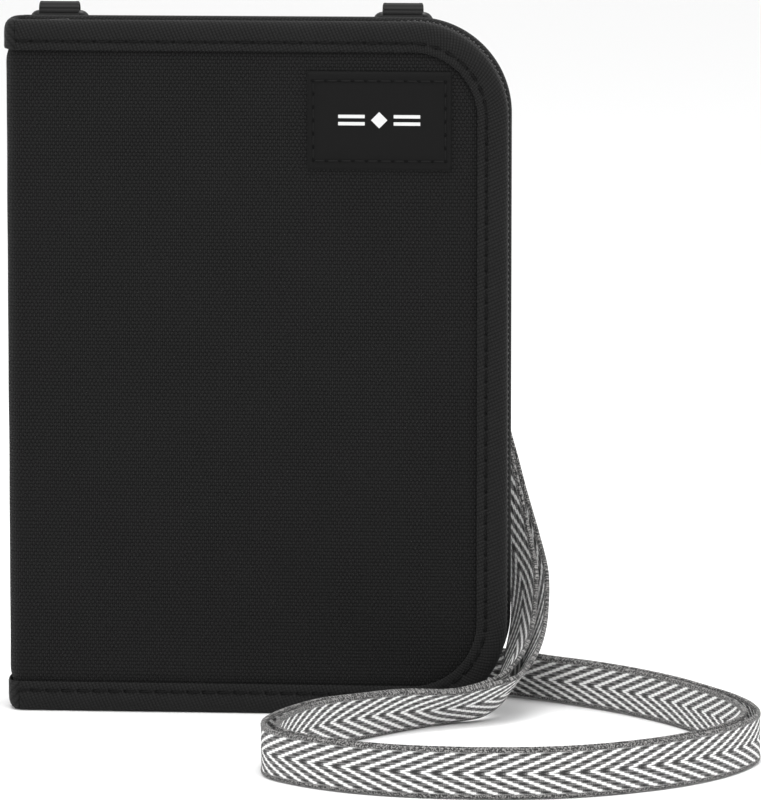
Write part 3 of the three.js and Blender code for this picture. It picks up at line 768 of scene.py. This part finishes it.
# ---- Strap ----
# Each row is a point on the outer strand's middle line, the direction of its upper edge, and how far the
# inner strand lies from it. From STANDING_ROW on, the strap stands on its edge.
STANDING_ROW = 7
LOOP = [
    (47.8, 11.6, 52.4, 0.94, -0.26, 0.22, 2.6),
    (50.2, 10.9, 43.3, 0.93, -0.35, 0.14, 2.7),
    (52.6, 10.3, 35, 0.83, -0.55, 0.12, 2.8),
    (55.0, 7.6, 27, 0.66, -0.75, 0.1, 2.8),
    (55.4, 3.8, 20, 0.47, -0.87, 0.12, 2.8),
    (54.3, -4.3, 13.1, 0.42, -0.86, 0.25, 2.6),
    (51.8, -11.2, 8.3, 0.29, -0.76, 0.55, 2.3),
    (47.1, -15.9, 5.2, 0.12, -0.63, 0.77, 2.5),
    (39.3, -19.9, 4.25, 0.08, -0.66, 0.75, 2.5),
    (31.1, -27.3, 4.75, 0.05, -0.5, 0.86, 2.3),
    (24, -35.5, 5.0, 0, -0.4, 0.92, 2.1),
    (17, -44, 5.2, 0, -0.2, 0.98, 2.2),
    (12.2, -53, 5.2, 0, -0.1, 1, 2.5),
    (8.9, -62.5, 5.2, 0, 0, 1, 2.8),
    (7.6, -71.5, 5.2, 0, 0, 1, 2.9),
    (9.6, -80.5, 5.2, 0, 0, 1, 2.6),
    (16.6, -88, 5.2, 0, 0, 1, 2.1),
    (25.5, -93.8, 5.2, 0, 0, 1, 1.8),
    (36.3, -97.6, 5.2, 0, 0, 1, 1.7),
    (48, -99, 5.2, 0, 0, 1, 1.6),
    (60, -98.6, 5.2, 0, 0, 1, 1.6),
    (72, -95.6, 5.2, 0, 0, 1, 1.7),
    (83.5, -89.2, 5.2, 0, 0, 1, 1.9),
    (93.5, -80.5, 5.2, 0, 0, 1, 2.2),
    (101.5, -69, 5.2, 0, 0, 1, 2.6),
    (105.8, -56, 5.2, 0, 0, 1, 2.8),
    (104.6, -44.5, 5.2, 0, 0, 1, 2.7),
    (100.6, -34, 5.2, 0, 0, 1, 2.4),
    (95.3, -24.6, 5.2, 0, -0.08, 1, 2.1),
    (88.2, -13.6, 5.2, 0, -0.13, 0.99, 2.0),
    (79.3, -3.2, 5.2, 0, -0.18, 0.98, 2.0),
    (70.4, 4.8, 5.2, 0, -0.22, 0.97, 2.0),
    (60.3, 12.2, 5.2, 0, -0.28, 0.95, 2.0),
    (51.5, 18.3, 5.3, 0, -0.22, 0.97, 2.1),
    (42.5, 23.2, 5.4, 0, -0.15, 0.98, 2.2),
    (32.5, 26.8, 5.7, 0, -0.1, 0.99, 2.3),
    (21.5, 29.2, 6.4, 0, 0, 1, 2.4),
    (11, 30.3, 7.1, 0, 0, 1, 2.5),
    (2, 30.6, 7.5, 0, 0, 1, 2.5),
    (-7, 30.6, 7.6, 0, 0, 1, 2.5),
    (-14, 30.8, 7.6, 0, 0, 1, 2.9),
]
OUTER_TURN = [
    (-18.5, 31.2, 7.6, 0, 0, 1),
    (-21.3, 31.4, 7.6, 0, 0, 1),
    (-23.0, 30.5, 7.6, 0, 0, 1),
    (-23.3, 29.6, 7.6, 0, 0, 1),
]
INNER_TURN = [(x, 58.7 - y, *rest) for x, y, *rest in OUTER_TURN]
OUTER_DROP = [
    (29.4, 15.35, 90.2, 1, 0, 0),
    (29.5, 15.35, 87.2, 1, 0, 0),
    (31, 15.2, 82, 0.97, 0, 0.22),
    (34, 14.7, 76, 0.92, -0.06, 0.38),
    (39.6, 13.6, 68, 0.9, -0.12, 0.4),
    (44.5, 12.7, 60.4, 0.93, -0.19, 0.3),
]
INNER_DROP = [
    (-42.8, 15.35, 90.2, 1, 0, 0),
    (-42.7, 15.4, 87.2, 0.97, -0.2, 0),
    (-41.6, 15.7, 79.5, 0.75, -0.65, 0),
    (-36.5, 16.6, 71.5, 0.35, -0.93, 0),
    (-26, 18, 66, 0, -1, 0),
    (-13, 19.4, 66.5, 0, -1, 0),
    (0, 20.6, 69.5, 0, -1, 0),
    (12.5, 21.8, 73.5, 0, -1, 0),
    (23, 22.6, 76.8, 0, -1, 0),
    (33.2, 21.8, 76.9, 0.15, -0.98, 0.1),
    (40.6, 19.2, 71.8, 0.58, -0.76, 0.3),
    (44.9, 16.3, 64, 0.88, -0.36, 0.3),
]


def inner_loop():
    out = []
    for i, row in enumerate(LOOP):
        here = Vector(row[:3])
        before, after = LOOP[max(i - 1, 0)], LOOP[min(i + 1, len(LOOP) - 1)]
        along = (Vector(after[:3]) - Vector(before[:3])).normalized()
        inward = Vector(row[3:6]).cross(along).normalized()
        if i >= STANDING_ROW:
            inward.z = 0
        out.append((*(here + inward * row[6]), *row[3:6]))
    return out


def spline(points, t):
    """Catmull-Rom through the points, t in rows."""
    last = len(points) - 1
    i = min(int(t), last - 1)
    w = t - i
    p1, p2 = points[i], points[i + 1]
    p0 = points[i - 1] if i else p1 * 2 - p2
    p3 = points[i + 2] if i + 2 <= last else p2 * 2 - p1
    t0, t1 = (p2 - p0) * 0.5, (p3 - p1) * 0.5
    square, cube = p1 * -3 + p2 * 3 - t0 * 2 - t1, p1 * 2 - p2 * 2 + t0 + t1
    slope = t0 + square * (2 * w) + cube * (3 * w**2)
    return p1 + t0 * w + square * w**2 + cube * w**3, slope.normalized()


def strap_net(name, rows, us, section, material):
    """v is the distance from the strap's middle line, on both faces."""
    across = [a for a, _ in section]
    return net(name, rows, material, closed=True, capped=True, u=us, v=across + across[:1])


def ribbon(name, route, material):
    """Flat webbing along a route, with thickened edges. Returns the piece, its middle line and its length."""
    points = [Vector(r[:3]) for r in route]
    uppers = [Vector(r[3:6]) for r in route]
    spacing, fine = 0.9, 40
    dense = [spline(points, i / fine) for i in range((len(points) - 1) * fine + 1)]
    far = lengths([p for p, _ in dense])
    count = round(far[-1] / spacing)
    half, t = STRAP_WIDTH / 2, STRAP_THICK / 2
    section = [(half, 0.0), (half - 0.12, 0.75), (half - 0.45, 1.0), (half - 0.95, 0.92), (half - 1.5, 0.84),
               (1.2, 0.9)]
    section += [(-a, b) for a, b in reversed(section)]
    section += [(a, -b) for a, b in reversed(section[1:-1])]
    rows, line, us, k = [], [], [], 0
    for i in range(count + 1):
        distance = far[-1] * i / count
        while k + 1 < len(far) - 1 and far[k + 1] < distance:
            k += 1
        share = (distance - far[k]) / max(1e-9, far[k + 1] - far[k])
        row_t = min((k + share) / fine, len(points) - 1.0)
        centre, along = spline(points, row_t)
        upper, _ = spline(uppers, row_t)
        upper = (upper - along * upper.dot(along)).normalized()
        face = along.cross(upper)
        rows.append([centre + upper * a + face * (b * t) for a, b in section])
        line.append(centre)
        us.append(distance)
    return strap_net(name, rows, us, section, material), line, far[-1]


def sewn_end(side, material, thread):
    """The strap's end: up behind the eye's bar, over it, down in front and stitched to itself."""
    leg = [(0.5, 91.0), (0.5, 96), (0.5, 104), (0.55, 110), (0.9, 113.4), (1.6, 115.8)]
    path = [(HOOK_Y + y, z) for y, z in leg] + arc(HOOK_Y, 118.1, 2.05, -25, 205, 10)
    path += [(HOOK_Y - y, z) for y, z in reversed(leg)]
    half = STRAP_WIDTH / 2
    section = [(half, 0), (half - 0.15, 0.8), (half - 0.5, 1), (0, 0.9), (0.5 - half, 1), (0.15 - half, 0.8)]
    section += [(-a, -b) for a, b in section]
    rows = band_rows(TABS[side], path, section, 0.45)
    us = lengths([(0, y, z) for y, z in path])
    obj = strap_net(f"sewn_end_{side}", rows, us, section, material)
    assign(obj, f"ring_{side}", [f"strap_end_{side}"])
    places = []
    for face in (1, -1):
        places += box_stitch(TABS[side], HOOK_Y + face * 0.97, face, (3.8, 94, 108, 1.9), (3.9, 2.0),
                             (3.6, 94.6, 107.4, 2.0))
    seam = stitches(f"sewn_end_stitches_{side}", places, thread, 1.6, 0.15, 0.12)
    return [obj, assign(seam, f"ring_{side}")]


def make_strap():
    cloth = strap_cloth()
    thread = thread_material("strap_thread", 0.05)
    pieces = {}
    for side in TABS:
        hook = [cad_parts[f"{node}_{side}"] for node in ("hook_claw", "hook_gate", "hook_eye")]
        pieces[side] = sewn_end(side, cloth, thread) + hook
    pieces["right"].append(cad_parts["strap_keeper"])
    outer_route = [*OUTER_DROP, *LOOP, *OUTER_TURN]
    inner_route = [*INNER_DROP, *inner_loop(), *INNER_TURN][::-1]
    for name, route, side, leaves, bend in (
        ("outer", outer_route, "right", at(TABS["right"], HOOK_Y, 91), at(42, HOOK_Y, 30)),
        ("inner", inner_route, "left", at(-23.3, 29.1, 7.6), at(10, HOOK_Y, 70)),
    ):
        obj, line, length = ribbon(f"strap_{name}", route, cloth)
        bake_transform(obj)
        assign(obj, replaces=[f"strap_{name}_strand", f"strap_drop_{side}"])


# ---- Rings, tabs and hooks ----
def make_tab(side, material, thread):
    centre = TABS[side]
    path = [(8.95, 131.2), (8.95, 134), (8.95, 137), (8.95, 140), (8.95, 142.5), (8.98, 144)]
    path += arc(BAR_Y, BAR_Z + TAB_SLACK, 1.66, 180, 0, 8)
    path += [(12.25, 144.6), (11.75, 143.5), (10.9, 142.5), (10.25, 141.5), (9.9, 140.3), (9.78, 138.5),
             (9.78, 135), (9.78, 131.2)]
    half = 4.2
    section = [(half, 0), (half - 0.12, 0.8), (half - 0.4, 1), (half - 1.0, 0.9), (0, 0.9), (1.0 - half, 0.9),
               (0.4 - half, 1), (0.12 - half, 0.8), (-half, 0), (0.12 - half, -0.8), (0.4 - half, -1),
               (0, -0.9), (half - 0.4, -1), (half - 0.12, -0.8)]
    rows = band_rows(centre, path, section, 0.36)
    obj = net(f"tab_{side}", rows, material, closed=True, capped=True)
    assign(obj, "wallet_back", [f"ring_tab_{side}"])
    places = box_stitch(centre, 10.15, 1, (3.4, 132.6, 138.6, 1.7), (3.3, 2.0), (3.1, 133, 138.2, 1.9))
    seam = stitches(f"tab_stitches_{side}", places, thread, 1.4, 0.14, 0.12)
    assign(seam, "wallet_back")


def make_ring(side, material):
    centre = TABS[side]
    half, bend, arm = 5.4, 1.2, 1.6
    line = [(x, 0.0) for x in (-half + bend, -2, 0, 2, half - bend)]
    line += arc(half - bend, -bend, bend, 90, 0, 5)[1:]
    line += arc(0, -arm, half, 0, -180, 24)
    line += arc(-half + bend, -bend, bend, 180, 90, 5)[:-1]
    s, c = math.sin(RING_TILT), math.cos(RING_TILT)
    path = [(centre + x, BAR_Y - z * s, BAR_Z + z * c) for x, z in line]
    obj = net(f"ring_{side}_wire", tube_rows(path, 0.9, 14, looped=True), material, closed=True, looped=True)
    assign(obj, f"ring_{side}", [f"d_ring_{side}"])


# ---- Front label ----
def make_patch(cloth, thread, dark, white):
    x0, x1, z0, z1 = 10.9, 40.9, 114.5, 134.9
    columns = graded(x0, x1, (0, 0.004, 0.015, 0.035, 0.07, 0.1), 14)
    levels = graded(z0, z1, (0, 0.006, 0.022, 0.05, 0.1, 0.14), 10)
    in_x, in_z, pitch = 1.3, 1.9, 2.75  # from the label's edge to its seam, and its stitches
    rows = []
    for x in columns:
        row = []
        for z in levels:
            sideways, upright = min(x - x0, x1 - x), min(z - z0, z1 - z)
            depth = min(sideways, upright)
            seam = math.exp(-((min(sideways - in_x, upright - in_z) / 0.4) ** 2))
            y = 7.95 + 0.55 * min(1.0, depth / 0.3) ** 0.5
            y += 0.12 * smooth(1.4, 5, depth) - 0.13 * seam
            row.append((x, -y, z))
        rows.append(row)
    obj = net("label_cloth", rows, cloth)
    assign(obj, "front_cover", ["front_label_patch"])
    places = frame_of_stitches(x0 + in_x, x1 - in_x, -8.4, z0 + in_z, z1 - in_z, -1, pitch)
    # Painted shade: a near-black bead in each needle hole, halfway between two stitches.
    gaps = [(point + along.normalized() * (pitch / 2), along, out) for point, along, out in places]
    for seam in (stitches("label_stitches", places, thread, 2.1, 0.17, 0.1),
                 stitches("label_needle_holes", gaps, dark, 0.6, 0.26, 0.06)):
        assign(seam, "front_cover")
    # A plain mark: a small diamond between two pairs of bars.
    cx, cz, y = (x0 + x1) / 2, 124.9, -8.66
    half, bar_half, bar_start, bar_end = 1.7, 0.35, 3.0, 8.5
    shapes = [[(cx, cz - half), (cx + half, cz), (cx, cz + half), (cx - half, cz)]]
    for direction in (-1, 1):
        for rise in (0.75, -0.75):
            a, b = sorted((cx + direction * bar_start, cx + direction * bar_end))
            low, high = cz + rise - bar_half, cz + rise + bar_half
            shapes.append([(a, low), (b, low), (b, high), (a, high)])
    points, faces, uvs = [], [], []
    for shape in shapes:
        first = len(points)
        points += [(x, y, z) for x, z in shape] + [(x, y + 0.12, z) for x, z in shape]
        count = len(shape)
        faces.append([first + k for k in range(count)])
        faces.append([first + count + k for k in reversed(range(count))])
        for k in range(count):
            n = (k + 1) % count
            faces.append([first + k, first + n, first + count + n, first + count + k])
    uvs = [[(points[k][0], points[k][2]) for k in face] for face in faces]
    mark = new_object("label_mark", [at(*p) for p in points], faces, uvs, white)
    mark.data.polygons.foreach_set("use_smooth", [False] * len(mark.data.polygons))
    assign(mark, "front_cover")


# ---- Inside ----
def extent(name):
    """Low and high corner of a CAD node, in millimetres."""
    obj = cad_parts[name]
    corners = [(obj.matrix_world @ Vector(c)) / MM for c in obj.bound_box]
    low = [min(c[k] for c in corners) for k in range(3)]
    high = [max(c[k] for c in corners) for k in range(3)]
    low[1] -= DEPTH_SHIFT
    high[1] -= DEPTH_SHIFT
    return low, high


def hem(node, body, tape, thread, inward):
    """Tape folded over the top edge of a pocket, stitched along its lower side."""
    low, high = extent(node)
    face = low[1] if inward < 0 else high[1]
    top = high[2]
    section = [(0.02, -3.6), (0.2, -3.55), (0.26, -2.0), (0.24, -0.6), (0.12, 0.12), (-0.15, 0.2),
               (-0.3, 0.1), (-0.2, -0.1), (0.02, -0.6)]
    rows, count = [], 40
    for i in range(count + 1):
        x = low[0] + 0.6 + (high[0] - low[0] - 1.2) * i / count
        sag = 0.06 * math.sin(i * 1.3)
        rows.append([(x, face + inward * out, top + rise + sag) for out, rise in section])
    assign(net(f"{node}_hem", rows, tape, closed=True, capped=True), body)
    y, z = face + inward * 0.24, top - 2.9
    places = straight_run((low[0] + 1, y, z), (high[0] - 1, y, z), inward, 3.0)
    assign(stitches(f"{node}_hem_stitches", places, thread, 2.2, 0.13, 0.1), body)


def make_inside(lining, sleeve, tape_flat, hem_tape, thread, plastic, film, board, elastic):
    pockets = ("passport_sleeve", "card_slot_1", "card_slot_2", "card_slot_3")
    plain = {
        lining: ("front_lining", "back_lining"), board: ("front_stiffener_board", "back_stiffener_board"),
        sleeve: (*pockets, "pocket_panel_lower", "pocket_panel_upper"),
        tape_flat: ("window_frame", "pocket_zip_chain"), film: ("clear_window",),
        elastic: ("spine_pen_loop",),
    }
    for material, names in plain.items():
        for name in names:
            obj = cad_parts[name]
            for slot in obj.material_slots:
                slot.material = material
            bevel(obj, 0.15 if material == elastic else 0.08, 2, 50)
    for name in pockets:
        hem(name, "wallet_back", hem_tape, thread, -1)
    low, high = extent("window_frame")
    face, places = high[1], []
    inner = (-29.5, 33.5, 18.5, 73.5)  # the window's opening: x, x, z, z
    for x0, x1, z0, z1 in ((low[0] + 1, high[0] - 1, low[2] + 1, high[2] - 1),
                           (inner[0] - 1, inner[1] + 1, inner[2] - 1, inner[3] + 1)):
        places += frame_of_stitches(x0, x1, face, z0, z1, 1, 2.8)
    seam = stitches("window_stitches", places, thread, 2.1, 0.13, 0.1)
    assign(seam, "front_cover")
    # Inner pocket's zip: two rows of interlocking turns, and a stitched line on each tape.
    low, high = extent("pocket_zip_chain")
    tubes, places = [], []
    middle = (low[2] + high[2]) / 2
    for row in (-1, 1):
        x = low[0] + 1.5 + (0.55 if row > 0 else 0)
        while x < high[0] - 1.5:
            path = [(x, high[1] - 0.25, middle + row * 1.5), (x, high[1] + 0.12, middle + row * 1.1),
                    (x, high[1] + 0.16, middle + row * 0.4), (x, high[1] - 0.05, middle - row * 0.25)]
            tubes.append(tube_rows(path, [0.2, 0.24, 0.26, 0.22], 6))
            x += 1.1
        z = middle + row * 2.6
        places += straight_run((low[0] + 1, high[1], z), (high[0] - 1, high[1], z), 1, 2.8)
    assign(many("pocket_zip_teeth", tubes, plastic), "front_cover")
    seam = stitches("pocket_zip_stitches", places, thread, 2.1, 0.13, 0.1)
    assign(seam, "front_cover")


# ---- Build ----
make_camera()
make_stage()
make_strap()

nylon = woven("nylon_cloth", 0.0070, 0.43, 0.14, 1.0, tall=1.67)
tape = twill("binding_tape", 0.0092)
zip_cloth = ribbed("zip_cloth", 0.012, 0.55, 0.05)
webbing = ribbed("tab_webbing", 0.016, 0.95, 0.12, 0.6)
lining_cloth = woven("lining_cloth", 0.03, 0.3, 0.03, 0.2, 0.7, 0.05)
label_cloth = woven("label_cloth", 0.005, 0.28, 0.02, 0.2, 0.75, 0.02)
thread = thread_material("seam_thread", 0.0045)
label_thread = thread_material("label_thread", 0.009)
# Near-black thread material for the painted shade in the label's needle holes.
needle_dark = thread_material("needle_dark", 0.0008)
coil_plastic = hard("coil_plastic", 0.012, 0.62, wear=0.2)
black_metal = hard("black_metal", 0.009, 0.32, 0.0, 0.15)
keeper_plastic = hard("keeper_plastic", 0.016, 0.4)
print_white = hard("print_white", 0.62, 0.6, wear=0.05, grain=0.01)

for side, name in SIDES.items():
    cover = COVERS[side]
    cloth = assign(shell(side, nylon), replaces=[f"{name}_outer_panel", "spine_panel"])
    bend_round_spine(cloth)
    bound, places = cover_binding(side, tape)
    assign(bound, cover, [f"{name}_edge_binding"])
    assign(cover_stitches(side, places, thread), cover)
    for end in ("top", "bottom"):
        wrap = assign(spine_binding(side, end, tape), replaces=[f"spine_binding_{end}"])
        bend_round_spine(wrap)
    bend_round_spine(assign(spine_lining(side, lining_cloth)))
    assign(zip_tape(side, zip_cloth), cover, [f"{name}_zip_tape", f"{name}_zip_coil"])
    assign(teeth(side, coil_plastic), cover)

for side in TABS:
    make_tab(side, webbing, thread)
    make_ring(side, black_metal)
    for node in ("hook_claw", "hook_gate", "hook_eye"):
        finish_node(f"{node}_{side}", black_metal, 0.35)

make_patch(label_cloth, label_thread, needle_dark, print_white)

for node in ("zip_slider_body", "zip_slider_bridge", "zip_pull_tab", "pocket_zip_slider", "pocket_zip_pull"):
    finish_node(node, black_metal, 0.18)
finish_node("strap_keeper", keeper_plastic, 0.4)

lining_flat = woven("lining_flat", 0.03, 0.3, 0.03, 0.2, 0.7, 0.05, flat=True)
sleeve_flat = woven("sleeve_flat", 0.02, 0.42, 0.05, 0.3, 0.75, 0.05, flat=True)
tape_flat = ribbed("flat_tape", 0.016, 0.7, 0.06, flat=True)
hem_tape = ribbed("hem_tape", 0.016, 0.6, 0.05)
inside_thread = thread_material("inside_thread", 0.05)
elastic = ribbed("elastic_band", 0.014, 0.6, 0.1, flat=True)
board = woven("board_fibre", 0.05, 0.9, 0.02, 0.25, 0.8, 0.02, 0.6, flat=True)
make_inside(lining_flat, sleeve_flat, tape_flat, hem_tape, inside_thread, coil_plastic, clear_film(), board,
            elastic)
